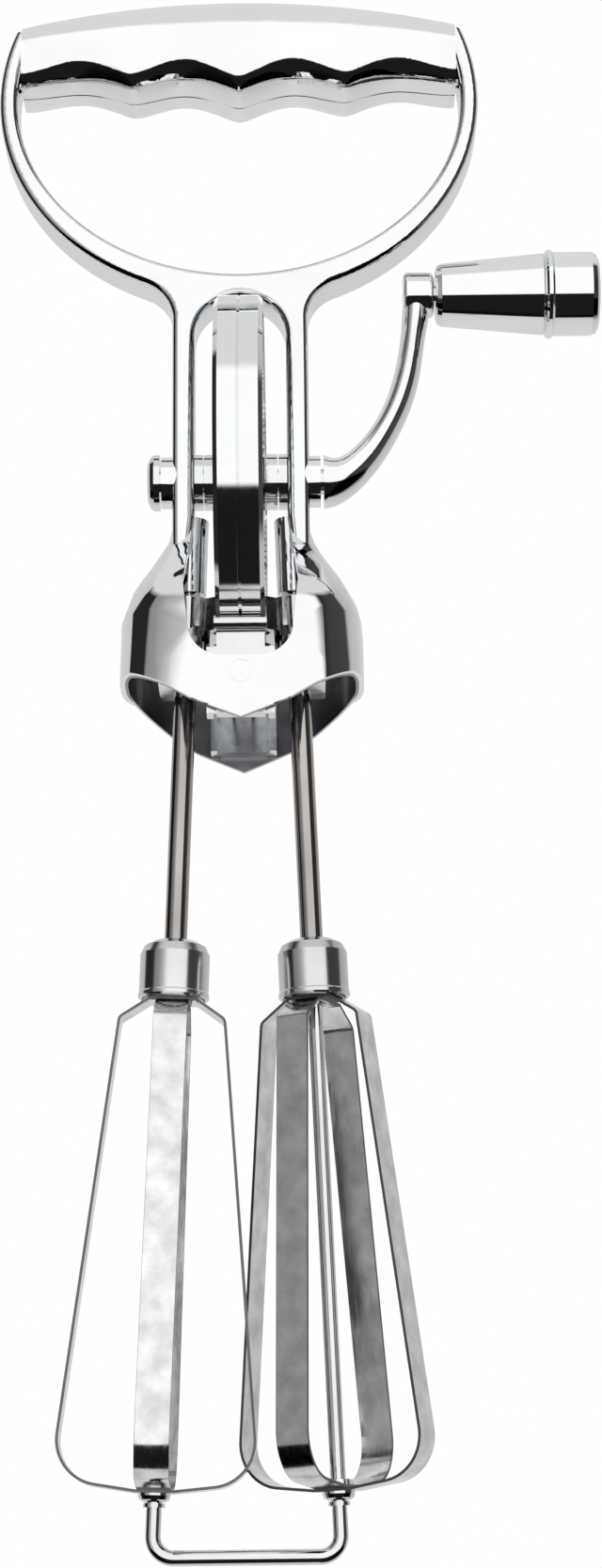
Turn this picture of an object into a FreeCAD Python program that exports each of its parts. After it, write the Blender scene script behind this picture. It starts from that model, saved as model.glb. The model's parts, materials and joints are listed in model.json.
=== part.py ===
"""Hand-cranked egg beater: a parametric FreeCAD document.

Frame: millimetres, +Z up, +X towards the crank, -Y is the front.
The origin is the middle of the wire guard's bottom run, on the surface that it can rest on.
"""
import FreeCAD, Part
import Sketcher
import math
import os

Vector = FreeCAD.Vector
Rotation = FreeCAD.Rotation
Placement = FreeCAD.Placement

# ---------------------------------------------------------------- driving dimensions

DIMENSIONS = {
    # D loop, legs and slot
    "frame_depth": 10.0,
    "loop_height": 276.8,
    "loop_opening_width": 43.0,
    "loop_opening_drop": 36.8,
    "loop_outer_width": 46.5,
    "loop_outer_drop": 42.0,
    "loop_blend": 8.0,
    "frame_rounding": 1.4,
    "legs_foot": 183.0,
    "leg_inner": 8.7,
    "leg_outer": 12.9,
    "slot_spring": 227.0,
    "slot_widest": 10.3,
    "slot_widest_height": 175.5,
    "slot_foot_width": 8.8,
    "slot_foot": 159.3,
    "slot_corner": 6.5,
    "bell_slot_spare": 0.3,
    # gear housing, an oval bell
    "housing_width": 22.6,
    "housing_depth": 16.5,
    "housing_wall": 1.5,
    "housing_foot": 142.0,
    "shoulder_start": 165.0,
    "shoulder_end": 190.0,
    "shoulder_top_depth": 4.9,
    "housing_squareness": 3.0,
    "lip_middle": 147.8,
    "lip_side": 158.0,
    "lip_back_drop": 1.6,
    # axle, bosses and collars
    "axle_height": 198.8,
    "axle_radius": 2.5,
    "running_gap": 0.06,
    "boss_reach": 15.0,
    "boss_radius": 4.9,
    "collar_radius": 5.3,
    "spacer_reach": 6.9,
    "bush_start": 7.1,
    "rivet_cap_reach": 17.7,
    "rivet_cap_start": 15.3,
    # grip
    "grip_half_length": 42.3,
    "grip_middle_top": 298.7,
    "grip_top_fall": 5.0,
    "grip_under": 277.0,
    "grip_under_rise": 2.4,
    "grip_front_depth": 8.6,
    "grip_rear_depth": 11.6,
    "grip_depth_fall": 1.8,
    "grip_back_squareness": 2.2,
    "grip_under_squareness": 3.3,
    "groove_spacing": 20.8,
    "groove_rise": 2.5,
    "groove_edge_rise": 1.8,
    "groove_fade": 0.85,
    "groove_openness": 1.4,
    "grip_wall": 1.6,
    "screw_spread": 21.0,
    "screw_height": 287.0,
    "screw_radius": 1.4,
    "screw_head_radius": 2.6,
    "screw_seat": 4.0,
    "seam_width": 0.5,
    "seam_deep": 0.35,
    "tenon_radius": 3.2,
    "tenon_reach": 38.5,
    "tenon_height": 285.0,
    "arm_top": 291.5,
    # wheel
    "wheel_radius": 35.1,
    "wheel_half_width": 4.5,
    "rim_thickness": 3.2,
    "web_thickness": 1.6,
    "wheel_teeth": 48.0,
    "face_tooth_start": 24.6,
    "face_tooth_end": 31.0,
    "face_tooth_top": 3.8,
    "face_tooth_half": 0.75,
    "rivet_circle": 16.0,
    "rivet_radius": 1.2,
    # pinions
    "pinion_teeth": 12.0,
    "pinion_root_radius": 5.9,
    "pinion_tip_radius": 8.0,
    "pinion_foot": 168.0,
    "pinion_top": 174.4,
    "pinion_hub_radius": 4.2,
    "pinion_hub_foot": 162.0,
    # beaters
    "foot_spread": 16.4,
    "splay": 2.12,
    "tube_radius": 2.05,
    "tube_bore": 1.45,
    "tube_foot": 98.0,
    "tube_top": 176.0,
    "cup_radius": 6.3,
    "cup_foot": 99.3,
    "cup_top": 110.1,
    "cup_wall": 0.6,
    "band_width": 6.0,
    "band_thickness": 0.5,
    "band_top": 99.2,
    "band_shoulder": 95.6,
    "band_shoulder_radius": 9.7,
    "band_widest": 17.6,
    "band_corner_height": 14.2,
    "band_foot": 12.3,
    # bearing bridge
    "bridge_half_width": 4.4,
    "bridge_top": 160.6,
    "block_foot": 149.0,
    "block_top": 165.2,
    "block_back": 11.5,
    "block_face": 14.9,
    "block_roll_radius": 1.3,
    "block_roll_depth": 15.7,
    "block_roll_height": 165.7,
    "rib_start": 5.0,
    "rib_end": 6.2,
    "rib_back": 10.5,
    "wing_foot": 157.6,
    "wing_top": 161.5,
    "wing_reach": 15.4,
    "wing_depth": 12.0,
    "bridge_pin_height": 156.3,
    "bridge_pin_radius": 2.2,
    "bridge_pin_ring": 0.18,
    # wire guard
    "wire_radius": 1.35,
    "wire_bend": 3.6,
    "wire_top": 184.0,
    "socket_radius": 3.2,
    "socket_foot": 176.3,
    # crank and knob
    "crank_start": 15.6,
    "crank_hub_radius": 5.1,
    "knob_height": 236.8,
    "knob_boss_start": 31.3,
    "knob_boss_end": 37.1,
    "knob_boss_radius": 4.4,
    "barrel_start": 37.4,
    "barrel_end": 58.5,
    "barrel_small": 6.0,
    "barrel_large": 7.8,
    "ring_end": 60.0,
    "ring_radius": 8.45,
    "cap_end": 68.7,
    "cap_radius": 8.0,
    "knob_pin_radius": 1.9,
}


class Size:
    """A length, and the sheet expression that gives it."""

    def __init__(self, value, text):
        self.value = value
        self.text = text

    def __float__(self):
        return self.value

    def _joined(self, sign, other, value):
        return Size(value, f"({self.text} {sign} {text_of(other)})")

    def __add__(self, other):
        return self._joined("+", other, self.value + float(other))

    def __sub__(self, other):
        return self._joined("-", other, self.value - float(other))

    def __mul__(self, other):
        return self._joined("*", other, self.value * float(other))

    def __neg__(self):
        return Size(-self.value, f"(0 - {self.text})")


def text_of(size):
    """The expression of a Size, or a plain number as text."""
    return size.text if isinstance(size, Size) else repr(float(size))


document = FreeCAD.newDocument("egg_beater")
sheet = document.addObject("Spreadsheet::Sheet", "Dimensions")


class Dimensions:
    """Each driving dimension as an attribute."""


for row, (alias, number) in enumerate(DIMENSIONS.items(), start=1):
    sheet.set(f"A{row}", alias)
    sheet.set(f"B{row}", str(number))
    sheet.setAlias(f"B{row}", alias)
    setattr(Dimensions, alias, Size(number, f"Dimensions.{alias}"))
document.recompute()
D = Dimensions

ALONG_Z = Rotation()
ALONG_X = Rotation(Vector(0, 1, 0), 90)
ALONG_MINUS_X = Rotation(Vector(0, 1, 0), -90)
ALONG_Y = Rotation(Vector(1, 0, 0), -90)
UPRIGHT_SKETCH = Rotation(Vector(1, 0, 0), 90)

sub_parts = []


# ---------------------------------------------------------------- helpers

def at(x, y, z, turn=ALONG_Z):
    """A placement at a point."""
    return Placement(Vector(float(x), float(y), float(z)), turn)


def bind(item, **sizes):
    """Bind properties of an object to the sheet."""
    for name, size in sizes.items():
        item.setExpression(name, text_of(size))


def cylinder(name, radius, height, place):
    item = document.addObject("Part::Cylinder", name)
    bind(item, Radius=radius, Height=height)
    item.Placement = place
    return item


def box(name, length, width, height, place):
    item = document.addObject("Part::Box", name)
    bind(item, Length=length, Width=width, Height=height)
    item.Placement = place
    return item


def ellipse(name, major, minor, place):
    item = document.addObject("Part::Ellipse", name)
    bind(item, MajorRadius=major, MinorRadius=minor)
    item.Placement = place
    return item


def squared(value, power):
    """A sine or cosine bent so that a circle of them becomes squarer than an ellipse."""
    return math.copysign(abs(value) ** (2.0 / float(power)), value)


def smooth_outline(name, points, place):
    """A closed smooth curve through points in the XY plane."""
    curve = Part.BSplineCurve()
    curve.interpolate(Points=[Vector(x, y, 0) for x, y in points], PeriodicFlag=True)
    item = document.addObject("Part::Feature", name)
    item.Shape = Part.Wire(curve.toShape())
    item.Placement = place
    return item


def turns():
    """Cosine and sine of the directions that an outline's points lie in."""
    for n in range(32):
        yield math.cos(math.pi * n / 16), math.sin(math.pi * n / 16)


def superoval(name, half_x, half_y, power, place):
    """A rounded oblong, an ellipse where its power is two."""
    points = [(squared(across, power) * float(half_x), squared(up, power) * float(half_y))
              for across, up in turns()]
    return smooth_outline(name, points, place)


def loft(name, sections):
    item = document.addObject("Part::Loft", name)
    item.Sections = sections
    item.Solid = True
    item.Ruled = False
    return item


def prism(name, section, depth):
    """A flat outline in the XZ plane, thickened equally to the front and the back."""
    item = document.addObject("Part::Extrusion", name)
    item.Base = section
    item.DirMode = "Custom"
    item.Dir = Vector(0, 1, 0)
    item.Solid = True
    bind(item, LengthFwd=depth * 0.5, LengthRev=depth * 0.5)
    return item


def fuse(name, items):
    item = document.addObject("Part::MultiFuse", name)
    item.Shapes = items
    return item


def cut(name, base, tools):
    tool = tools[0] if len(tools) == 1 else fuse(name + "_tools", tools)
    item = document.addObject("Part::Cut", name)
    item.Base = base
    item.Tool = tool
    return item


def common(name, base, tool):
    item = document.addObject("Part::Common", name)
    item.Base = base
    item.Tool = tool
    return item


def rounded(name, base, radius, chosen):
    """Fillet the edges of base that the function chosen picks."""
    document.recompute()
    edges = [n for n, edge in enumerate(base.Shape.Edges, start=1) if chosen(edge)]
    item = document.addObject("Part::Fillet", name)
    item.Base = base
    item.Edges = [(n, float(radius), float(radius)) for n in edges]
    return item


def draw(sketch, points):
    """Draw a closed outline whose every corner is held by two bound constraints."""
    corners = [Vector(float(across), float(up), 0) for across, up in points]
    for n, corner in enumerate(corners):
        sketch.addGeometry(Part.LineSegment(corner, corners[(n + 1) % len(corners)]), False)
    for n in range(len(corners)):
        following = (n + 1) % len(corners)
        sketch.addConstraint(Sketcher.Constraint("Coincident", n, 2, following, 1))
    for n, (across, up) in enumerate(points):
        for kind, size, axis in (("DistanceX", across, -2), ("DistanceY", up, -1)):
            if abs(float(size)) < 1e-9:
                sketch.addConstraint(Sketcher.Constraint("PointOnObject", n, 1, axis))
            else:
                held = sketch.addConstraint(Sketcher.Constraint(kind, -1, 1, n, 1, float(size)))
                sketch.setExpression(f"Constraints[{held}]", text_of(size))


def outline(name, points):
    """A free-standing closed outline in the XZ plane."""
    sketch = document.addObject("Sketcher::SketchObject", name)
    sketch.Placement = at(0, 0, 0, UPRIGHT_SKETCH)
    draw(sketch, points)
    return sketch


def new_body(name):
    body = document.addObject("PartDesign::Body", name)
    document.recompute()
    return body


def body_sketch(body, plane, suffix, offset=0.0):
    """An empty sketch on one of the body's own origin planes."""
    sketch = body.newObject("Sketcher::SketchObject", f"{body.Name}_{suffix}")
    support = [item for item in body.Origin.OriginFeatures if item.Role == plane][0]
    sketch.AttachmentSupport = [(support, "")]
    sketch.MapMode = "FlatFace"
    sketch.AttachmentOffset = at(0, 0, offset)
    return sketch


def turned(name, points, place):
    """A body turned about its Z axis from (radius, height) points."""
    body = new_body(name)
    sketch = body_sketch(body, "XZ_Plane", "outline")
    draw(sketch, points)
    revolution = body.newObject("PartDesign::Revolution", name + "_turned")
    revolution.Profile = sketch
    revolution.ReferenceAxis = (sketch, ["V_Axis"])
    revolution.Angle = 360.0
    body.Placement = place
    return body


def tube_points(outer, inner, foot, top):
    return [(inner, foot), (outer, foot), (outer, top), (inner, top)]


def toothed(body, sketch, pad_length, taper, count):
    """Pad one tooth, then repeat it about the body's Z axis."""
    tooth = body.newObject("PartDesign::Pad", body.Name + "_tooth")
    tooth.Profile = sketch
    bind(tooth, Length=pad_length)
    tooth.TaperAngle = -taper
    document.recompute()
    teeth = body.newObject("PartDesign::PolarPattern", body.Name + "_teeth")
    teeth.Originals = [tooth]
    axis = [item for item in body.Origin.OriginFeatures if item.Role == "Z_Axis"][0]
    teeth.Axis = (axis, [""])
    teeth.Angle = 360.0
    bind(teeth, Occurrences=count)
    body.Tip = teeth


def finish(item, label):
    """Name an object as a finished sub-part."""
    item.Label = label
    sub_parts.append(item)
    return item


def beater_place(side):
    """Local frame of a beater: Z runs up its splayed axis, and local zero is at the guard's foot."""
    return Placement(Vector(side * float(D.foot_spread), 0, 0),
                     Rotation(Vector(0, 1, 0), -side * float(D.splay)))


def on_beater(side, height, turn=ALONG_Z):
    """A placement part of the way up a beater's axis."""
    return beater_place(side).multiply(at(0, 0, height, turn))


def along_y(edge):
    """True for a straight edge that runs front to back."""
    return edge.BoundBox.XLength < 0.01 and edge.BoundBox.ZLength < 0.01


# ---------------------------------------------------------------- frame

def shoulder_sections(name, inset):
    """Rounded oblongs up the housing: straight sides, then an S-shaped shoulder into the legs."""
    stations = 6
    sections = []
    skirt = (D.shoulder_start - D.housing_foot) * 0.25
    for n in range(4):
        sections.append(superoval(f"{name}_skirt_{n}", D.housing_width - inset, D.housing_depth - inset,
                                  D.housing_squareness, at(0, 0, D.housing_foot + skirt * n)))
    for n in range(stations + 1):
        turn = n / stations
        reach = (1 + math.cos(math.radians(180 * turn ** 1.25))) / 2
        height = D.shoulder_start + (D.shoulder_end - D.shoulder_start) * turn
        width = D.leg_outer + (D.housing_width - D.leg_outer) * reach
        depth = D.shoulder_top_depth + (D.housing_depth - D.shoulder_top_depth) * reach
        sections.append(superoval(f"{name}_{n}", width - inset, depth - inset, D.housing_squareness,
                                  at(0, 0, height - inset)))
    return sections


def frame_slot(name, spare):
    """The long slot between the legs, rounded at its foot and arched at its top."""
    right = [(D.slot_foot_width + spare, D.slot_foot), (D.slot_widest + spare, D.slot_widest_height),
             (D.leg_inner + spare, D.slot_widest_height + 15.0), (D.leg_inner + spare, D.slot_spring)]
    points = right + [(-x, z) for x, z in reversed(right)]
    straight = prism(name + "_straight", outline(name + "_outline", points), D.housing_depth * 4)
    foot = float(D.slot_foot)
    softened = rounded(name + "_softened", straight, D.slot_corner,
                       lambda edge: along_y(edge) and abs(edge.Vertexes[0].Z - foot) < 0.1)
    arch = cylinder(name + "_arch", D.leg_inner + spare, D.housing_depth * 4,
                    at(0, -D.housing_depth * 2, D.slot_spring, ALONG_Y))
    return fuse(name, [softened, arch])


def frame_plate():
    """D loop and legs: one flat outline, blended and rounded."""
    depth = D.frame_depth
    outer = prism("loop_disc", ellipse("loop_outer", D.loop_outer_width, D.loop_outer_drop,
                                       at(0, 0, D.loop_height, UPRIGHT_SKETCH)), depth)
    legs = box("legs_block", D.leg_outer * 2, depth, D.loop_height - D.legs_foot,
               at(-D.leg_outer, depth * -0.5, D.legs_foot))
    opening = prism("loop_opening", ellipse("loop_inner", D.loop_opening_width, D.loop_opening_drop,
                                            at(0, 0, D.loop_height, UPRIGHT_SKETCH)), depth * 2)
    above_arms = box("above_arms", D.loop_outer_width * 4, depth * 2, 60,
                     at(D.loop_outer_width * -2, -depth, D.arm_top))
    solid = fuse("plate_solid", [outer, legs])
    low = float(D.legs_foot) + 1
    high = float(D.arm_top) - 1
    blended = rounded("plate_blended", solid, D.loop_blend,
                      lambda edge: along_y(edge) and low < edge.Vertexes[0].Z < float(D.loop_height) - 10)
    pierced = cut("plate_pierced", blended, [opening, above_arms, frame_slot("leg_slot", 0.0)])
    face = float(depth) / 2

    def on_front_or_back(edge):
        box_of_edge = edge.BoundBox
        flat = abs(abs(box_of_edge.YMin) - face) < 0.01 and box_of_edge.YLength < 0.01
        return flat and box_of_edge.Center.z > low and box_of_edge.Center.z < high

    softened = rounded("plate_softened", pierced, D.frame_rounding, on_front_or_back)
    grip_room = box("grip_room", D.grip_half_length * 2, depth * 2, 60,
                    at(-D.grip_half_length, -depth, D.loop_height))
    return cut("plate", softened, [grip_room])


def below_housing_lip(name, side, drop):
    """What is cut away below the housing's pointed lip, on one side of the middle plane."""
    lip = [(30, D.lip_side), (20.5, D.lip_side), (13.8, D.lip_side - 3.4 - drop),
           (9, D.lip_middle + 3.7 - drop), (0, D.lip_middle - drop)]
    mirrored = [(-x, z) for x, z in reversed(lip[:-1])]
    ends = [(-30, D.housing_foot - 9), (30, D.housing_foot - 9)]
    item = document.addObject("Part::Extrusion", f"below_{name}_lip")
    item.Base = outline(f"{name}_lip_outline", lip + mirrored + ends)
    item.DirMode = "Custom"
    item.Dir = Vector(0, side, 0)
    item.Solid = True
    bind(item, LengthFwd=D.housing_depth * 2)
    return item


def make_frame():
    plate = frame_plate()
    slot = frame_slot("bell_slot", D.bell_slot_spare)
    bell = loft("bell", shoulder_sections("bell_outer", 0.0))
    hollow = loft("bell_hollow", shoulder_sections("bell_inner", D.housing_wall))
    below_lip = [below_housing_lip("front", -1, 0.0), below_housing_lip("back", 1, D.lip_back_drop)]
    housing = cut("housing", bell, [hollow, slot] + below_lip)

    parts = [plate, housing]
    for side, name in ((-1, "left"), (1, "right")):
        turn = ALONG_X if side > 0 else ALONG_MINUS_X
        parts.append(cylinder(f"boss_{name}", D.boss_radius, D.boss_reach - D.leg_inner - 1.0,
                              at((D.leg_inner + 1.0) * side, 0, D.axle_height, turn)))
        parts.append(cylinder(f"socket_{name}", D.socket_radius, D.wire_top - D.socket_foot + 7.0,
                              on_beater(side, D.socket_foot)))
        parts.append(cylinder(f"tenon_{name}", D.tenon_radius, D.grip_half_length - D.tenon_reach + 1.0,
                              at(D.tenon_reach * side, 0, D.tenon_height, turn)))
    solid = fuse("frame_solid", parts)

    bores = [cylinder("axle_bore", D.axle_radius + D.running_gap, 60, at(-30, 0, D.axle_height, ALONG_X)),
             cylinder("bridge_pin_bore", D.bridge_pin_radius, 60, at(0, -30, D.bridge_pin_height, ALONG_Y))]
    for side, name in ((-1, "left"), (1, "right")):
        bores.append(cylinder(f"wire_bore_{name}", D.wire_radius, D.wire_top - D.socket_foot + 1.0,
                              on_beater(side, D.socket_foot - 1.0)))
    finish(cut("frame", solid, bores), "frame")


def make_collars():
    """Bushes on the frame, and spacers on the axle beside the wheel."""
    for side, name in ((-1, "left"), (1, "right")):
        turn = ALONG_X if side > 0 else ALONG_MINUS_X
        place = at(0, 0, D.axle_height, turn)
        bush = turned(f"axle_bush_{name}", tube_points(D.collar_radius, D.axle_radius + D.running_gap,
                                                       D.bush_start, D.leg_inner), place)
        finish(bush, f"axle_bush_{name}")
        spacer = turned(f"wheel_spacer_{name}", tube_points(D.collar_radius, D.axle_radius,
                                                            D.wheel_half_width, D.spacer_reach), place)
        finish(spacer, f"wheel_spacer_{name}")


# ---------------------------------------------------------------- grip

def grip_section(name, x, inset):
    """The grip's outline at x: a round back, and a squarer underside that rises in each groove."""
    along = x / float(D.grip_half_length)
    top = float(D.grip_middle_top) - float(D.grip_top_fall) * along ** 2
    under = float(D.grip_under) + float(D.grip_under_rise) * (2 - along ** 2) * along ** 2
    middle = (top + under) / 2
    lost_depth = float(D.grip_depth_fall) * along ** 2 + float(inset)
    groove = abs(math.sin(math.pi * x / float(D.groove_spacing))) ** float(D.groove_openness)
    groove_rise = float(D.groove_rise) * (1 - float(D.groove_fade) * along ** 2)
    points = []
    for down, aside in turns():
        if down > 0:
            y = squared(aside, D.grip_under_squareness)
            raised = groove * (groove_rise + float(D.groove_edge_rise) * y ** 2)
            reach = (middle - under - float(inset) - raised) * squared(down, D.grip_under_squareness)
        else:
            y = squared(aside, D.grip_back_squareness)
            reach = (top - middle - float(inset)) * squared(down, D.grip_back_squareness)
        depth = D.grip_rear_depth if aside > 0 else D.grip_front_depth
        points.append((reach, y * (float(depth) - lost_depth)))
    return smooth_outline(name, points, at(x, 0, middle, ALONG_X))


def grip_form(name, inset):
    """An arched bar with four finger grooves underneath."""
    steps = 40
    half_length = float(D.grip_half_length) - float(inset)
    return loft(name, [grip_section(f"{name}_{n}", half_length * (2 * n / steps - 1), inset)
                       for n in range(steps + 1)])


def make_grip():
    """Two hollow shells that meet on the middle plane, closed by two screws from behind."""
    whole = grip_form("grip_whole", 0.0)
    core = grip_form("grip_inner", D.grip_wall)
    length = D.grip_half_length * 2 + 20
    seam_slab = box("seam_slab", length, D.seam_width, 60,
                    at(length * -0.5, D.seam_width * -0.5, D.grip_under - 10))
    seam = cut("grip_seam", seam_slab, [grip_form("seam_inner", D.seam_deep)])
    tenon_hole = cylinder("tenon_hole", D.tenon_radius, length,
                          at(length * -0.5, 0, D.tenon_height, ALONG_X))
    removed = [seam, tenon_hole]
    posts, screws = [], []
    for side, name in ((-1, "left"), (1, "right")):
        post_place = at(D.screw_spread * side, -D.grip_rear_depth, D.screw_height, ALONG_Y)
        posts.append(cylinder(f"grip_post_{name}", D.screw_head_radius + 1.4, D.grip_rear_depth * 2,
                              post_place))
        tip = -D.grip_front_depth * 0.65
        seat = at(D.screw_spread * side, D.screw_seat, D.screw_height, ALONG_Y)
        shank_place = at(D.screw_spread * side, tip, D.screw_height, ALONG_Y)
        removed.append(cylinder(f"screw_well_{name}", D.screw_head_radius + 0.2, D.grip_rear_depth, seat))
        removed.append(cylinder(f"screw_hole_{name}", D.screw_radius, D.screw_seat - tip, shank_place))
        screws.append(cylinder(f"screw_shank_{name}", D.screw_radius, D.screw_seat - tip, shank_place))
        head = cylinder(f"screw_head_{name}", D.screw_head_radius, 1.8, seat)
        slot = box(f"screw_slot_{name}", 6, 1.0, 0.7, at(D.screw_spread * side - 3, D.screw_seat + 1.1,
                                                         D.screw_height - 0.35))
        screws.append(cut(f"screw_driven_{name}", head, [slot]))
    posts_clear = cut("grip_posts", fuse("grip_posts_whole", posts), [tenon_hole])
    hollow = cut("grip_hollow", core, [posts_clear])
    shell = cut("grip_shell", whole, [hollow] + removed)
    back_half = box("grip_back_half", length, 30, 60, at(length * -0.5, 0, D.grip_under - 10))
    finish(cut("grip_front_shell", shell, [back_half]), "grip_front_shell")
    finish(common("grip_rear_shell", shell, back_half), "grip_rear_shell")
    finish(fuse("grip_screws", screws), "grip_screws")


# ---------------------------------------------------------------- bridge, pin and wire

def bridge_blocks(name, side):
    """What fixes the bridge to one wall of the housing: a block with two ribs on a thin plate."""
    back = D.block_back if side > 0 else -D.block_face
    plate_back = D.block_face - 1.4 if side > 0 else -D.block_face + 0.4
    rib_back = D.rib_back if side > 0 else -D.block_face + 0.4
    half = D.bridge_half_width
    rib_width = D.rib_end - D.rib_start
    rib_height = D.wing_top - D.block_foot
    pieces = [box(f"block_{name}", half * 2, D.block_face - D.block_back, D.block_top - D.block_foot,
                  at(-half, back, D.block_foot)),
              box(f"rib_plate_{name}", D.rib_end * 2, 1.0, rib_height,
                  at(-D.rib_end, plate_back, D.block_foot))]
    for start, rib in ((D.rib_start, "right"), (-D.rib_end, "left")):
        pieces.append(box(f"rib_{name}_{rib}", rib_width, D.block_face - 0.4 - D.rib_back, rib_height,
                          at(start, rib_back, D.block_foot)))
    return pieces


def make_bridge():
    """The tubes' upper bearing: a cross plate below the wheel, on a block at the front and back."""
    body = new_body("bridge_wings")
    sketch = body_sketch(body, "XZ_Plane", "outline")
    draw(sketch, [(-D.wing_reach, D.wing_foot), (D.wing_reach, D.wing_foot),
                  (D.wing_reach, D.wing_top), (-D.wing_reach, D.wing_top)])
    pad = body.newObject("PartDesign::Pad", "bridge_pad")
    pad.Profile = sketch
    pad.Midplane = True
    bind(pad, Length=D.wing_depth)
    half = D.bridge_half_width
    spine = box("bridge_spine", half * 2, D.block_face * 2, D.bridge_top - D.wing_foot,
                at(-half, -D.block_face, D.wing_foot))
    inside = loft("bridge_limit", shoulder_sections("bridge_limit", D.housing_wall + 0.02))
    pieces = [body, spine] + bridge_blocks("front", -1) + bridge_blocks("back", 1)
    limited = common("bridge_limited", fuse("bridge_joined", pieces), inside)
    rolls = [cylinder(f"block_roll_{name}", D.block_roll_radius, half * 2 + 0.8,
                      at(-half - 0.4, D.block_roll_depth * side, D.block_roll_height, ALONG_X))
             for side, name in ((-1, "front"), (1, "back"))]
    holes = [cylinder("bridge_pin_hole", D.bridge_pin_radius, 60, at(0, -30, D.bridge_pin_height, ALONG_Y))]
    for side, name in ((-1, "left"), (1, "right")):
        holes.append(cylinder(f"tube_bearing_{name}", D.tube_radius + D.running_gap, 30,
                              on_beater(side, D.block_foot - 10)))
    finish(cut("bearing_bridge", fuse("bridge_solid", [limited] + rolls), holes), "bearing_bridge")
    rod = cylinder("bridge_pin_rod", D.bridge_pin_radius, D.housing_depth * 2 + 6,
                   at(0, -D.housing_depth - 3, D.bridge_pin_height, ALONG_Y))
    narrow = cylinder("bridge_pin_narrow", D.bridge_pin_radius - D.bridge_pin_ring, D.housing_depth * 2 + 6,
                      at(0, -D.housing_depth - 3, D.bridge_pin_height, ALONG_Y))
    thick = common("bridge_pin_thick", rod, box("bridge_pin_run", 10, D.housing_depth * 2 - 1.0, 10,
                                                at(-5, -D.housing_depth + 0.5, D.bridge_pin_height - 5)))
    finish(common("bridge_pin", fuse("bridge_pin_long", [thick, narrow]), document.getObject("bell")),
           "bridge_pin")


def make_wire_guard():
    """One wire: up the left tube, across the foot, up the right tube."""
    lean = math.radians(float(D.splay))
    height = float(D.wire_radius)
    foot_x = float(D.foot_spread) - height * math.tan(lean)
    corner = Vector(foot_x, 0, height)
    up = Vector(-math.sin(lean), 0, math.cos(lean))
    reach = float(D.wire_bend) * math.tan((math.pi / 2 + lean) / 2)
    top = beater_place(1).multVec(Vector(0, 0, float(D.wire_top)))
    bend_start = corner - Vector(reach, 0, 0)
    bend_end = corner + up * reach
    centre = bend_start + Vector(0, 0, float(D.wire_bend))
    away = (corner - centre).normalize()
    bend_middle = centre + away * float(D.wire_bend)

    def mirrored(point):
        return Vector(-point.x, point.y, point.z)

    spine = document.addObject("Part::Feature", "wire_spine")
    spine.Shape = Part.Wire([
        Part.LineSegment(mirrored(top), mirrored(bend_end)).toShape(),
        Part.Arc(mirrored(bend_end), mirrored(bend_middle), mirrored(bend_start)).toShape(),
        Part.LineSegment(mirrored(bend_start), bend_start).toShape(),
        Part.Arc(bend_start, bend_middle, bend_end).toShape(),
        Part.LineSegment(bend_end, top).toShape()])
    section = document.addObject("Part::Circle", "wire_section")
    bind(section, Radius=D.wire_radius)
    section.Placement = Placement(mirrored(top), Rotation(Vector(0, 0, 1), mirrored(up)))
    sweep = document.addObject("Part::Sweep", "wire_guard")
    sweep.Sections = [section]
    sweep.Spine = (spine, [f"Edge{n}" for n in range(1, 6)])
    sweep.Solid = True
    finish(sweep, "wire_guard")
    for side, name in ((-1, "left"), (1, "right")):
        stop = turned(f"wire_stop_{name}", tube_points(D.wire_radius * 1.4, D.wire_radius,
                                                       D.band_foot - 2.4, D.band_foot - 1.7),
                      beater_place(side))
        finish(stop, f"wire_stop_{name}")


# ---------------------------------------------------------------- wheel, axle and crank

def rivet_places():
    """Four places on the wheel's web, a quarter turn apart."""
    for n in range(4):
        turn = math.radians(45 + 90 * n)
        yield at(0, math.cos(turn) * float(D.rivet_circle),
                 float(D.axle_height) + math.sin(turn) * float(D.rivet_circle))


def make_wheel_rivets():
    rivets = []
    for n, place in enumerate(rivet_places()):
        head = D.web_thickness + 0.7
        profile = [(0, -head), (D.rivet_radius, -head), (D.rivet_radius + 0.9, -head + 0.3),
                   (D.rivet_radius + 0.9, -D.web_thickness), (D.rivet_radius, -D.web_thickness),
                   (D.rivet_radius, D.web_thickness), (D.rivet_radius + 0.9, D.web_thickness),
                   (D.rivet_radius + 0.9, head - 0.3), (D.rivet_radius, head), (0, head)]
        rivets.append(turned(f"rivet_{n}", profile, place.multiply(at(0, 0, 0, ALONG_X))))
    finish(fuse("wheel_rivets", rivets), "wheel_rivets")


def make_wheel():
    inner_rim = D.wheel_radius - D.rim_thickness
    for side, name in ((-1, "left"), (1, "right")):
        turn = ALONG_X if side > 0 else ALONG_MINUS_X
        width = D.wheel_half_width
        profile = [(D.axle_radius, 0), (D.wheel_radius - 0.3, 0), (D.wheel_radius, 0.3),
                   (D.wheel_radius, width - 0.8),
                   (D.wheel_radius - 0.8, width), (inner_rim, width), (inner_rim, D.web_thickness),
                   (D.collar_radius + 3.0, D.web_thickness), (D.collar_radius + 1.5, width),
                   (D.axle_radius, width)]
        body = turned(f"wheel_blank_{name}", profile, at(0, 0, D.axle_height, turn))
        sketch = body_sketch(body, "XY_Plane", "tooth_outline", D.web_thickness)
        root = D.face_tooth_half
        grow = float(D.face_tooth_end) / float(D.face_tooth_start)
        draw(sketch, [(D.face_tooth_start, -root), (D.face_tooth_end, -root * grow),
                      (D.face_tooth_end, root * grow), (D.face_tooth_start, root)])
        toothed(body, sketch, D.face_tooth_top - D.web_thickness, 9.0, D.wheel_teeth)
        holes = [cylinder(f"rivet_hole_{name}_{n}", D.rivet_radius, D.wheel_half_width,
                          place.multiply(at(0, 0, 0, turn))) for n, place in enumerate(rivet_places())]
        finish(cut(f"wheel_half_{name}", body, holes), f"wheel_half_{name}")


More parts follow.
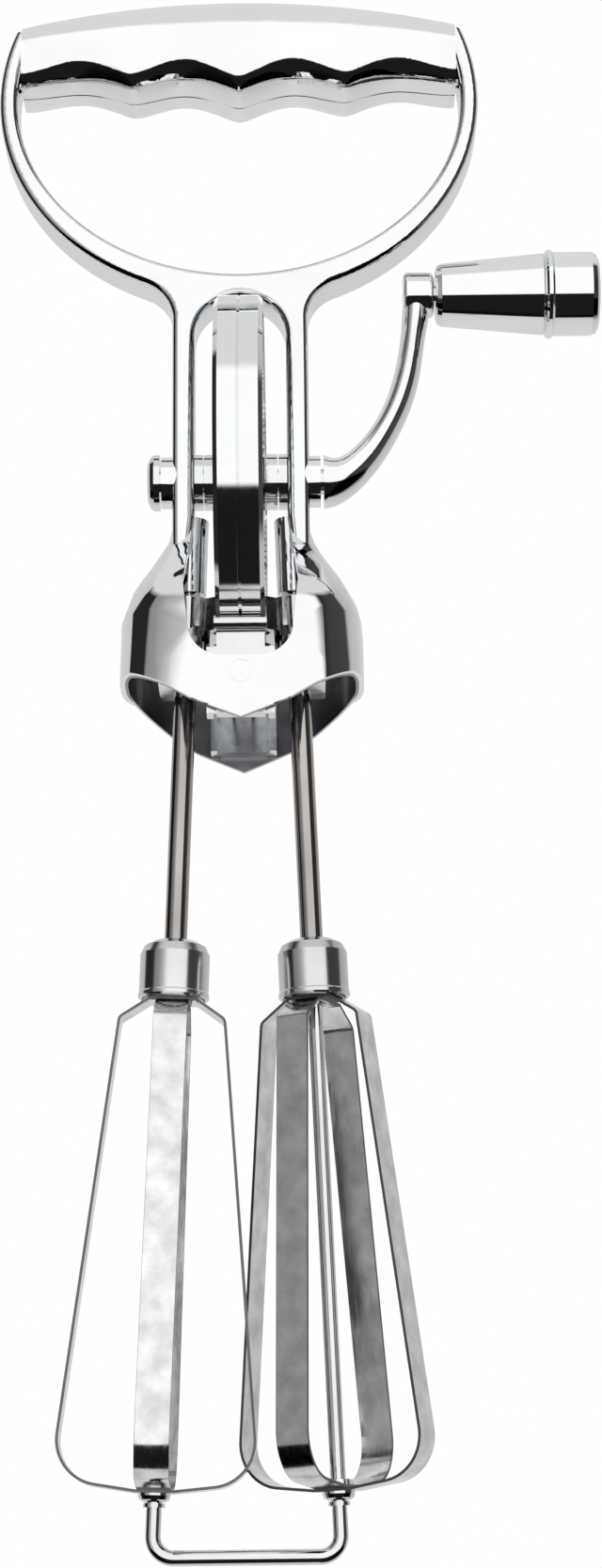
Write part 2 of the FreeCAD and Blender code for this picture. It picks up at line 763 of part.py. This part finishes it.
def make_axle():
    length = D.rivet_cap_start + 1.2
    finish(cylinder("crank_axle", D.axle_radius, length + D.crank_start + 5.5,
                    at(-length, 0, D.axle_height, ALONG_X)), "crank_axle")
    cap = turned("axle_rivet_cap",
                 [(0, D.rivet_cap_start + 1.2), (D.axle_radius, D.rivet_cap_start + 1.2),
                  (D.axle_radius, D.rivet_cap_start), (D.collar_radius, D.rivet_cap_start),
                  (D.collar_radius, D.rivet_cap_reach - 1.3),
                  (D.collar_radius - 0.5, D.rivet_cap_reach - 0.6),
                  (D.collar_radius - 1.6, D.rivet_cap_reach - 0.1), (0, D.rivet_cap_reach)],
                 at(0, 0, D.axle_height, ALONG_MINUS_X))
    finish(cap, "axle_rivet_cap")


def make_crank():
    """Arm of oval sections along an S, from the hub to the knob boss."""
    rise = float(D.knob_height) - float(D.axle_height)
    run = float(D.knob_boss_start) + 2.4 - float(D.crank_start)
    hub = float(D.crank_hub_radius)
    # distance out and up as shares of the run and rise, lean of the section, half width, half depth
    stations = [(0.00, 0.000, 0, hub, hub), (0.15, 0.005, 8, hub - 0.8, hub - 0.3),
                (0.37, 0.080, 30, 3.3, 4.2), (0.65, 0.262, 57, 2.6, 3.9), (0.80, 0.415, 69, 2.5, 3.7),
                (0.91, 0.610, 76, 2.4, 3.5), (0.97, 0.800, 80, 2.4, 3.4), (1.00, 0.960, 82, 2.4, 3.4)]
    sections = []
    for n, (out, up, lean, half_width, half_depth) in enumerate(stations):
        place = at(float(D.crank_start) + run * out, 0, float(D.axle_height) + rise * up,
                   Rotation(Vector(0, 1, 0), 90 - lean).multiply(Rotation(Vector(0, 0, 1), 90)))
        major = max(half_depth, half_width)
        sections.append(ellipse(f"arm_{n}", major, half_width, place))
    arm = loft("crank_swept", sections)
    boss = rounded("knob_boss_soft", cylinder("knob_boss", D.knob_boss_radius,
                                              D.knob_boss_end - D.knob_boss_start,
                                              at(D.knob_boss_start, 0, D.knob_height, ALONG_X)), 0.9,
                   lambda edge: edge.BoundBox.XLength < 0.1)
    joined = fuse("crank_joined", [arm, boss])
    holes = [cylinder("crank_axle_hole", D.axle_radius, 5.5, at(D.crank_start, 0, D.axle_height, ALONG_X)),
             cylinder("knob_pin_hole", D.knob_pin_radius, 20,
                      at(D.knob_boss_start + 1.5, 0, D.knob_height, ALONG_X))]
    finish(cut("crank_arm", joined, holes), "crank_arm")


def make_knob():
    place = at(0, 0, D.knob_height, ALONG_X)
    bore = D.knob_pin_radius + D.running_gap
    start, end = D.barrel_start, D.barrel_end
    finish(turned("knob_barrel", [(bore, start), (D.barrel_small - 1.4, start),
                                  (D.barrel_small - 0.4, start + 0.35), (D.barrel_small, start + 1.2),
                                  (D.barrel_large, end - 0.5), (D.barrel_large - 0.4, end), (bore, end)],
                  place), "knob_barrel")
    finish(turned("knob_ring", [(bore, end), (D.ring_radius - 0.4, end), (D.ring_radius, end + 0.4),
                                (D.ring_radius, D.ring_end - 0.4), (D.ring_radius - 0.4, D.ring_end),
                                (bore, D.ring_end)], place), "knob_ring")
    head = D.knob_pin_radius + 1.4
    pocket = head + 0.5
    finish(turned("knob_end_cap", [(pocket, D.ring_end), (D.cap_radius, D.ring_end),
                                   (D.cap_radius, D.cap_end - 1.4), (D.cap_radius - 0.4, D.cap_end - 0.5),
                                   (D.cap_radius - 1.3, D.cap_end), (0, D.cap_end),
                                   (0, D.ring_end + 2.2), (pocket, D.ring_end + 2.2)],
                  place), "knob_end_cap")
    pin_top = D.ring_end + 0.3
    finish(turned("knob_pin", [(0, D.knob_boss_start + 1.5), (D.knob_pin_radius, D.knob_boss_start + 1.5),
                               (D.knob_pin_radius, pin_top), (head, pin_top), (head, pin_top + 1.2),
                               (0, pin_top + 1.2)], place), "knob_pin")


# ---------------------------------------------------------------- beaters

def make_pinion(side, name):
    """The pinion is turned half a pitch, so that a gap faces the wheel's lowest tooth."""
    half_pitch = 180.0 / float(D.pinion_teeth)
    place = on_beater(side, 0, Rotation(Vector(0, 0, 1), half_pitch))
    body = turned(f"pinion_{name}", [(D.tube_radius, D.pinion_hub_foot),
                                     (D.pinion_hub_radius, D.pinion_hub_foot),
                                     (D.pinion_hub_radius, D.pinion_foot),
                                     (D.pinion_root_radius, D.pinion_foot),
                                     (D.pinion_root_radius, D.pinion_top),
                                     (D.tube_radius, D.pinion_top)], place)
    sketch = body_sketch(body, "XY_Plane", "tooth_outline", D.pinion_foot)
    draw(sketch, [(D.pinion_root_radius - 0.4, -0.95), (D.pinion_tip_radius, -0.4),
                  (D.pinion_tip_radius, 0.4), (D.pinion_root_radius - 0.4, 0.95)])
    toothed(body, sketch, D.pinion_top - D.pinion_foot, 0.0, D.pinion_teeth)
    finish(body, f"pinion_{name}")


def rounded_wire(corners, radii):
    """A closed wire through corners in the XZ plane, each corner replaced by a tangent arc."""
    count = len(corners)
    starts, middles, ends = [], [], []
    for n, corner in enumerate(corners):
        before = (corners[n - 1] - corner).normalize()
        after = (corners[(n + 1) % count] - corner).normalize()
        half = before.getAngle(after) / 2
        reach = radii[n] / math.tan(half)
        centre = corner + (before + after).normalize() * (radii[n] / math.sin(half))
        starts.append(corner + before * reach)
        ends.append(corner + after * reach)
        middles.append(centre + (corner - centre).normalize() * radii[n])
    edges = []
    for n in range(count):
        edges.append(Part.Arc(starts[n], middles[n], ends[n]).toShape())
        edges.append(Part.LineSegment(ends[n], starts[(n + 1) % count]).toShape())
    return Part.Wire(edges)


def make_band(side, label, phase, nesting):
    """A closed ring of strip: flat across the top, slanting sides, round lower corners."""
    inward = float(D.band_thickness) * nesting
    right = [(3.4, float(D.band_foot) + inward, 1.5),
             (float(D.band_widest) + 0.6, float(D.band_corner_height) + inward, 8.0),
             (float(D.band_shoulder_radius), float(D.band_shoulder) - inward, 1.6),
             (4.4, float(D.band_top) - inward, 1.0)]
    left = [(-x, z, radius) for x, z, radius in reversed(right)]
    outer = rounded_wire([Vector(x, 0, z) for x, z, radius in right + left],
                         [radius for x, z, radius in right + left])
    inner = outer.makeOffset2D(-float(D.band_thickness))
    width = float(D.band_width)
    ring = Part.Face(outer).cut(Part.Face(inner)).extrude(Vector(0, width, 0))
    ring.translate(Vector(0, -width / 2, 0))
    strip = document.addObject("Part::Feature", f"{label}_strip")
    strip.Shape = ring
    holes = [cylinder(f"{label}_top_hole", D.tube_radius, 4, at(0, 0, D.band_top - 2.5)),
             cylinder(f"{label}_foot_hole", D.wire_radius + 0.8, 4, at(0, 0, D.band_foot - 1.5))]
    band = cut(label, strip, holes)
    band.Placement = beater_place(side).multiply(at(0, 0, 0, Rotation(Vector(0, 0, 1), phase)))
    finish(band, label)


def make_beater(side, name, phase):
    place = beater_place(side)
    make_pinion(side, name)
    finish(turned(f"beater_tube_{name}", tube_points(D.tube_radius, D.tube_bore, D.tube_foot, D.tube_top),
                  place), f"beater_tube_{name}")
    wall = D.cup_wall
    shoulder = D.cup_top - 2.6
    cup = turned(f"hub_cup_{name}",
                 [(D.cup_radius - wall, D.cup_foot), (D.cup_radius - 0.1, D.cup_foot),
                  (D.cup_radius + 0.15, D.cup_foot + 0.3), (D.cup_radius + 0.15, D.cup_foot + 0.9),
                  (D.cup_radius, D.cup_foot + 1.2),
                  (D.cup_radius, shoulder), (D.cup_radius - 0.7, shoulder + 1.5),
                  (D.cup_radius - 2.2, D.cup_top - 0.25), (D.cup_radius - 3.4, D.cup_top),
                  (D.tube_radius, D.cup_top), (D.tube_radius, D.cup_top - 1.2),
                  (D.cup_radius - 3.0, D.cup_top - 1.2), (D.cup_radius - wall, shoulder - 0.6)], place)
    finish(cup, f"hub_cup_{name}")
    finish(turned(f"hub_washer_{name}", tube_points(D.cup_radius - 0.8, D.tube_radius, D.band_top,
                                                    D.band_top + 0.8), place), f"hub_washer_{name}")
    make_band(side, f"beater_loop_a_{name}", phase, 0.0)
    make_band(side, f"beater_loop_b_{name}", phase + 90.0, 1.0)
    bore = D.wire_radius + D.running_gap
    barrel = D.wire_radius + 0.8
    foot = D.band_foot
    strips_top = foot + D.band_thickness * 2
    eyelet = turned(f"bottom_eyelet_{name}",
                    [(bore, foot - 1.5), (barrel - 0.2, foot - 1.5), (barrel + 0.45, foot - 1.1),
                     (barrel + 0.7, foot - 0.4), (barrel + 0.7, foot), (barrel, foot),
                     (barrel, strips_top), (barrel + 0.5, strips_top), (barrel + 0.3, foot + 2.0),
                     (bore, foot + 2.0)], place)
    finish(eyelet, f"bottom_eyelet_{name}")


make_frame()
make_collars()
make_grip()
make_bridge()
make_wire_guard()
make_wheel()
make_wheel_rivets()
make_axle()
make_crank()
make_knob()
make_beater(-1, "left", 0.0)
make_beater(1, "right", -26.0)
document.recompute()

for item in document.Objects:
    if "Invalid" in item.State or "Error" in item.State:
        raise RuntimeError(f"{item.Name} did not build: {item.State}")
os.makedirs("parts", exist_ok=True)
for item in sub_parts:
    if item.Shape.isNull() or not item.Shape.isValid():
        raise RuntimeError(f"{item.Label} has no valid shape")
    item.Shape.exportStep(f"parts/{item.Label}.step")
print(len(sub_parts), "sub-parts written")
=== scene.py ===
"""Looks of the egg beater: metres, in the CAD frame (+Z up, +X crank side, -Y front)."""
import json
import math

import bpy
from mathutils import Euler, Matrix, Vector

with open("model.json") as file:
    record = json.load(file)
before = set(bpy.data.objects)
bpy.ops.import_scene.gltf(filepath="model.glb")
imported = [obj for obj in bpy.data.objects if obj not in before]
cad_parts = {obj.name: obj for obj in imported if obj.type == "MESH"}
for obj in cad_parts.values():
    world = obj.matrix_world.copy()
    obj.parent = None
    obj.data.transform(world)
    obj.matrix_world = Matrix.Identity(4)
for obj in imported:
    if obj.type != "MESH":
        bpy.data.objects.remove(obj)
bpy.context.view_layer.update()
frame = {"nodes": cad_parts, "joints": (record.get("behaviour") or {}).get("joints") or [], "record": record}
nodes = frame["nodes"]

MM = 0.001
HOUSING_HALF_WIDTH = 22.6 * MM
HOUSING_HALF_DEPTH = 16.5 * MM
HOUSING_SQUARENESS = 3.0
HOUSING_INSIDE_TOP = 168.0 * MM
BAND_WIDTH = 6.0 * MM
# how far each beater is turned at rest, in degrees
BEATER_PHASE = {"left": 0.0, "right": -26.0}

EVEN = (1.0, 1.0, 1.0)
ALONG = (1.0, 1.0, 0.04)
AROUND = (1.0, 1.0, 12.0)
POLISHED = (0.05, 0.04 * MM)
NOISE_MIDDLE = (0.3, 0.7)


# ---------------------------------------------------------------- materials

def new_material(name):
    """A node material with its Principled shader."""
    material = bpy.data.materials.new(name)
    material.use_nodes = True
    return material, material.node_tree, material.node_tree.nodes["Principled BSDF"]


def object_noise(tree, scale, detail, stretch=EVEN):
    """Noise in object coordinates, in cells per metre."""
    coordinates = tree.nodes.new("ShaderNodeTexCoord")
    mapping = tree.nodes.new("ShaderNodeMapping")
    mapping.inputs["Scale"].default_value = stretch
    tree.links.new(coordinates.outputs["Object"], mapping.inputs["Vector"])
    noise = tree.nodes.new("ShaderNodeTexNoise")
    noise.inputs["Scale"].default_value = scale
    noise.inputs["Detail"].default_value = detail
    tree.links.new(mapping.outputs["Vector"], noise.inputs["Vector"])
    return noise


def spread(tree, noise, low, high):
    """Map the middle of a noise's range to the range low to high."""
    ranged = tree.nodes.new("ShaderNodeMapRange")
    ranged.inputs["From Min"].default_value = NOISE_MIDDLE[0]
    ranged.inputs["From Max"].default_value = NOISE_MIDDLE[1]
    ranged.inputs["To Min"].default_value = low
    ranged.inputs["To Max"].default_value = high
    tree.links.new(noise, ranged.inputs["Value"])
    return ranged.outputs["Result"]


def tinted(tree, noise, dark, light):
    """A colour that runs from dark to light over the middle of a noise's range."""
    ramp = tree.nodes.new("ShaderNodeValToRGB")
    for element, place, colour in zip(ramp.color_ramp.elements, NOISE_MIDDLE, (dark, light)):
        element.position = place
        element.color = (*colour, 1.0)
    tree.links.new(noise, ramp.inputs["Fac"])
    return ramp.outputs["Color"]


def add_bump(tree, source, strength, depth):
    """A bump node over a source, its depth in metres."""
    bump = tree.nodes.new("ShaderNodeBump")
    bump.inputs["Strength"].default_value = strength
    bump.inputs["Distance"].default_value = depth
    tree.links.new(source, bump.inputs["Height"])
    return bump


def math_node(tree, operation, *values):
    """A maths node fed by numbers or by other nodes' outputs."""
    node = tree.nodes.new("ShaderNodeMath")
    node.operation = operation
    for socket, value in zip(node.inputs, values):
        if isinstance(value, (int, float)):
            socket.default_value = value
        else:
            tree.links.new(value, socket)
    return node.outputs["Value"]


def mixed(tree, share, first, second, blend="MIX"):
    """A colour blended from two colours, each a plain colour or another node's output."""
    node = tree.nodes.new("ShaderNodeMix")
    node.data_type = "RGBA"
    node.blend_type = blend
    tree.links.new(share, node.inputs["Factor"])
    for name, colour in (("A", first), ("B", second)):
        if isinstance(colour, tuple):
            node.inputs[name].default_value = (*colour, 1.0)
        else:
            tree.links.new(colour, node.inputs[name])
    return node.outputs["Result"]


def metal(name, dark, light, roughness, grain, stretch=EVEN, relief=POLISHED, patch=60.0, mask=None,
          masked=None, dents=0.0):
    """A metal whose colour, roughness and fine relief vary together.

    grain and patch are how fine the roughness and the colour vary, in cells per metre. relief is
    the fine bump's strength and its depth in metres. mask is a function that builds a share from 0
    to 1 over the surface, where painted shade goes. masked is the painted shade's colour where it is
    1, and the roughness added there. dents is the depth in metres of broad dents, as rolled strip has.
    """
    detail = 4.0
    dents_per_metre = 28.0
    material, tree, shader = new_material(name)
    shader.inputs["Metallic"].default_value = 1.0
    patches = object_noise(tree, patch, detail)
    fine = object_noise(tree, grain, detail, stretch)
    colour = tinted(tree, patches.outputs["Fac"], dark, light)
    rough = spread(tree, fine.outputs["Fac"], *roughness)
    if mask:
        # painted shade: where the mask is 1 the colour turns to masked's dark colour, and roughness is added
        share = mask(tree)
        colour = mixed(tree, share, colour, masked[0])
        rough = math_node(tree, "MULTIPLY_ADD", share, masked[1], rough)
    tree.links.new(colour, shader.inputs["Base Color"])
    tree.links.new(rough, shader.inputs["Roughness"])
    grain_bump = add_bump(tree, fine.outputs["Fac"], *relief)
    tree.links.new(grain_bump.outputs["Normal"], shader.inputs["Normal"])
    if dents:
        broad = object_noise(tree, dents_per_metre, 2.0)
        dent_bump = add_bump(tree, broad.outputs["Fac"], 1.0, dents)
        tree.links.new(dent_bump.outputs["Normal"], grain_bump.inputs["Normal"])
    return material


def position(tree):
    """The object coordinates of the surface, split into three outputs."""
    coordinates = tree.nodes.new("ShaderNodeTexCoord")
    split = tree.nodes.new("ShaderNodeSeparateXYZ")
    tree.links.new(coordinates.outputs["Object"], split.inputs["Vector"])
    return split.outputs["X"], split.outputs["Y"], split.outputs["Z"]


def inside_housing(tree):
    """1 on the inner wall of the oval housing, 0 everywhere else. There the casting is painted dark as shade
    inside the housing, and made rougher.
    """
    wall_inner_side = 0.88
    x, y, z = position(tree)

    def out(place, half_size):
        share = math_node(tree, "ABSOLUTE", math_node(tree, "DIVIDE", place, half_size))
        return math_node(tree, "POWER", share, HOUSING_SQUARENESS)

    oval = math_node(tree, "ADD", out(x, HOUSING_HALF_WIDTH), out(y, HOUSING_HALF_DEPTH))
    within = math_node(tree, "LESS_THAN", oval, wall_inner_side)
    below = math_node(tree, "LESS_THAN", z, HOUSING_INSIDE_TOP)
    return math_node(tree, "MULTIPLY", within, below)


def painted_edge_shade(centre, direction, half_width):
    """A mask that is 1 on the two long edges of a strip, whose width runs along a direction, where painted
    shade goes as a dark outline.
    """
    edge_depth = 0.06 * MM
    middle = direction.dot(centre)

    # painted shade: the mask marks a thin band along each long edge of the strip
    def mask(tree):
        offset = 0.0
        for place, share in zip(position(tree), direction):
            offset = math_node(tree, "MULTIPLY_ADD", place, share, offset)
        distance = math_node(tree, "ABSOLUTE", math_node(tree, "SUBTRACT", offset, middle))
        return math_node(tree, "GREATER_THAN", distance, half_width - edge_depth)

    return mask


CHROME = dict(dark=(0.85, 0.86, 0.87), light=(0.92, 0.93, 0.94))
DULLER_CHROME = dict(dark=(0.84, 0.85, 0.86), light=(0.91, 0.92, 0.93))

LOOKS = {
    # chrome_casting's masked colour is painted shade on the housing's inner wall; its added roughness makes
    # that wall duller
    "chrome_casting": dict(CHROME, roughness=(0.02, 0.06), grain=500.0, mask=inside_housing,
                           masked=((0.27, 0.27, 0.285), 0.26)),
    "chrome_grip": dict(CHROME, roughness=(0.02, 0.06), grain=450.0),
    "chrome_crank": dict(DULLER_CHROME, roughness=(0.02, 0.06), grain=500.0),
    "chrome_wheel": dict(DULLER_CHROME, roughness=(0.03, 0.08), grain=600.0),
    "chrome_knob": dict(CHROME, roughness=(0.01, 0.04), grain=400.0, relief=(0.03, 0.03 * MM)),
    "cast_bridge": dict(dark=(0.74, 0.75, 0.76), light=(0.84, 0.85, 0.86), roughness=(0.10, 0.22),
                        grain=700.0, relief=(0.12, 0.05 * MM)),
    "gear_steel": dict(dark=(0.68, 0.68, 0.69), light=(0.80, 0.80, 0.81), roughness=(0.10, 0.22),
                       grain=1200.0, relief=(0.10, 0.05 * MM)),
    "bright_steel": dict(dark=(0.76, 0.77, 0.78), light=(0.87, 0.88, 0.89), roughness=(0.04, 0.10),
                         grain=900.0, relief=(0.08, 0.04 * MM)),
    "dark_tube": dict(dark=(0.40, 0.375, 0.355), light=(0.54, 0.505, 0.48), roughness=(0.06, 0.14),
                      grain=1500.0, stretch=ALONG, relief=(0.06, 0.03 * MM)),
    "brushed_cup": dict(dark=(0.62, 0.62, 0.62), light=(0.80, 0.80, 0.80), roughness=(0.12, 0.22),
                        grain=1800.0, stretch=AROUND, relief=(0.08, 0.03 * MM)),
    "steel_wire": dict(dark=(0.74, 0.74, 0.74), light=(0.86, 0.86, 0.86), roughness=(0.04, 0.10),
                       grain=1500.0, stretch=ALONG, relief=(0.06, 0.03 * MM)),
}
# STRIP_STEEL's masked colour is painted shade along the strips' two long edges, and its roughness is added
# there
STRIP_STEEL = dict(dark=(0.62, 0.62, 0.63), light=(0.92, 0.92, 0.93), roughness=(0.08, 0.20),
                   grain=1600.0, stretch=ALONG, relief=(0.08, 0.04 * MM), patch=260.0,
                   masked=((0.16, 0.16, 0.16), 0.25), dents=2.0 * MM)


def strip_materials(side):
    """The two strips of a beater, each with painted shade darkening its two long edges."""
    joint = next(joint for joint in frame["joints"] if joint["name"] == f"beater_{side}_spin")
    axis = Vector(joint["axis"]).normalized()
    foot = Vector(joint["pos_m"])
    materials = {}
    for strip, phase in (("a", 0.0), ("b", math.pi / 2)):
        turned = Matrix.Rotation(math.radians(BEATER_PHASE[side]) + phase, 3, axis)
        width_direction = turned @ Vector((0.0, 1.0, 0.0))
        materials[f"beater_loop_{strip}_{side}"] = metal(
            f"strip_steel_{strip}_{side}", mask=painted_edge_shade(foot, width_direction, BAND_WIDTH / 2),
            **STRIP_STEEL)
    return materials


def dress_nodes():
    """Give each node the material of its slot, and each strip its own."""
    slot_materials = {name: metal(name, **look) for name, look in LOOKS.items()}
    node_materials = {entry["node"]: slot_materials.get(entry["material_slot"])
                      for entry in frame["record"]["subparts"]}
    for side in BEATER_PHASE:
        node_materials.update(strip_materials(side))
    for name, node in nodes.items():
        node.data.materials.clear()
        node.data.materials.append(node_materials[name])
        for polygon in node.data.polygons:
            polygon.use_smooth = True


# ---------------------------------------------------------------- stage

def azimuth(degrees):
    """A ramp's place for an azimuth: 0 is the front (-Y), 90 is +X, and -180 and 180 the back."""
    return 0.5 + degrees / 360.0


def elevation(degrees):
    """A ramp's place for an elevation: -90 is straight down, 0 level and 90 straight up."""
    return 0.5 + degrees / 180.0


def grey_ramp(tree, source, stops):
    """A grey that a source picks from (place, level) stops."""
    node = tree.nodes.new("ShaderNodeValToRGB")
    elements = node.color_ramp.elements
    while len(elements) > 1:
        elements.remove(elements[-1])
    elements[0].position, level = stops[0]
    elements[0].color = (level, level, level, 1.0)
    for place, level in stops[1:]:
        elements.new(place).color = (level, level, level, 1.0)
    tree.links.new(source, node.inputs["Fac"])
    return node.outputs["Color"]


def background(tree, colour):
    """A background of full strength, its colour plain or another node's output."""
    node = tree.nodes.new("ShaderNodeBackground")
    node.inputs["Strength"].default_value = 1.0
    if isinstance(colour, tuple):
        node.inputs["Color"].default_value = (*colour, 1.0)
    else:
        tree.links.new(colour, node.inputs["Color"])
    return node.outputs["Background"]


def stage_world():
    """A studio that only the metal sees: white tent, black flags at the sides, grey behind.

    The camera sees plain white.
    """
    flag = 0.02
    tent = 1.1
    top_grey = (0.76, 0.76, 0.76)
    world = bpy.data.worlds.new("studio")
    bpy.context.scene.world = world
    world.use_nodes = True
    tree = world.node_tree
    tree.nodes.clear()
    coordinates = tree.nodes.new("ShaderNodeTexCoord")
    parts = tree.nodes.new("ShaderNodeSeparateXYZ")
    tree.links.new(coordinates.outputs["Generated"], parts.inputs["Vector"])
    backward = math_node(tree, "MULTIPLY", parts.outputs["Y"], -1.0)
    around_angle = math_node(tree, "ARCTAN2", parts.outputs["X"], backward)
    around_place = math_node(tree, "MULTIPLY_ADD", around_angle, 1.0 / (2.0 * math.pi), 0.5)
    rise_angle = math_node(tree, "ARCSINE", parts.outputs["Z"])
    rise_place = math_node(tree, "MULTIPLY_ADD", rise_angle, 1.0 / math.pi, 0.5)

    around = grey_ramp(tree, around_place, [
        (azimuth(-180), 0.72), (azimuth(-114), 0.62), (azimuth(-110), flag), (azimuth(-70), flag),
        (azimuth(-66), 0.28), (azimuth(-50), 0.32), (azimuth(-34), 0.6), (azimuth(-22), tent),
        (azimuth(42), tent), (azimuth(47), flag), (azimuth(60), 0.05), (azimuth(96), 0.06),
        (azimuth(102), 0.5), (azimuth(180), 0.72)])
    above = grey_ramp(tree, rise_place, [(elevation(51), 0.0), (elevation(57), 1.0)])
    below = grey_ramp(tree, rise_place, [(elevation(-88), 0.8), (elevation(-85), 0.01),
                                         (elevation(-24), 0.01), (elevation(-21), 1.0)])
    in_front = grey_ramp(tree, around_place, [(azimuth(-120), 0.0), (azimuth(-100), 1.0),
                                              (azimuth(100), 1.0), (azimuth(120), 0.0)])
    lit_top = mixed(tree, above, around, top_grey)
    shaded = mixed(tree, in_front, lit_top, below, "MULTIPLY")

    path = tree.nodes.new("ShaderNodeLightPath")
    chosen = tree.nodes.new("ShaderNodeMixShader")
    tree.links.new(path.outputs["Is Camera Ray"], chosen.inputs["Fac"])
    tree.links.new(background(tree, shaded), chosen.inputs[1])
    tree.links.new(background(tree, (1.0, 1.0, 1.0)), chosen.inputs[2])
    output = tree.nodes.new("ShaderNodeOutputWorld")
    tree.links.new(chosen.outputs["Shader"], output.inputs["Surface"])


def stage_camera():
    """Looking up at the front from just below the beaters."""
    look_up = math.radians(15.5)
    roll = math.radians(-0.6)
    distance = 0.571
    target = Vector((0.0107, 0.0, 0.1395))
    data = bpy.data.cameras.new("camera")
    data.sensor_width = 36.0
    data.lens = 71.2
    data.clip_start = 0.01
    camera = bpy.data.objects.new("camera", data)
    bpy.context.scene.collection.objects.link(camera)
    camera.location = target + distance * Vector((0.0, -math.cos(look_up), -math.sin(look_up)))
    aim = Euler((math.pi / 2 + look_up, 0.0, 0.0)).to_matrix()
    camera.rotation_euler = (aim @ Matrix.Rotation(roll, 3, "Z")).to_euler()
    bpy.context.scene.camera = camera
    bpy.context.scene.view_settings.view_transform = "Standard"


dress_nodes()
stage_world()
stage_camera()
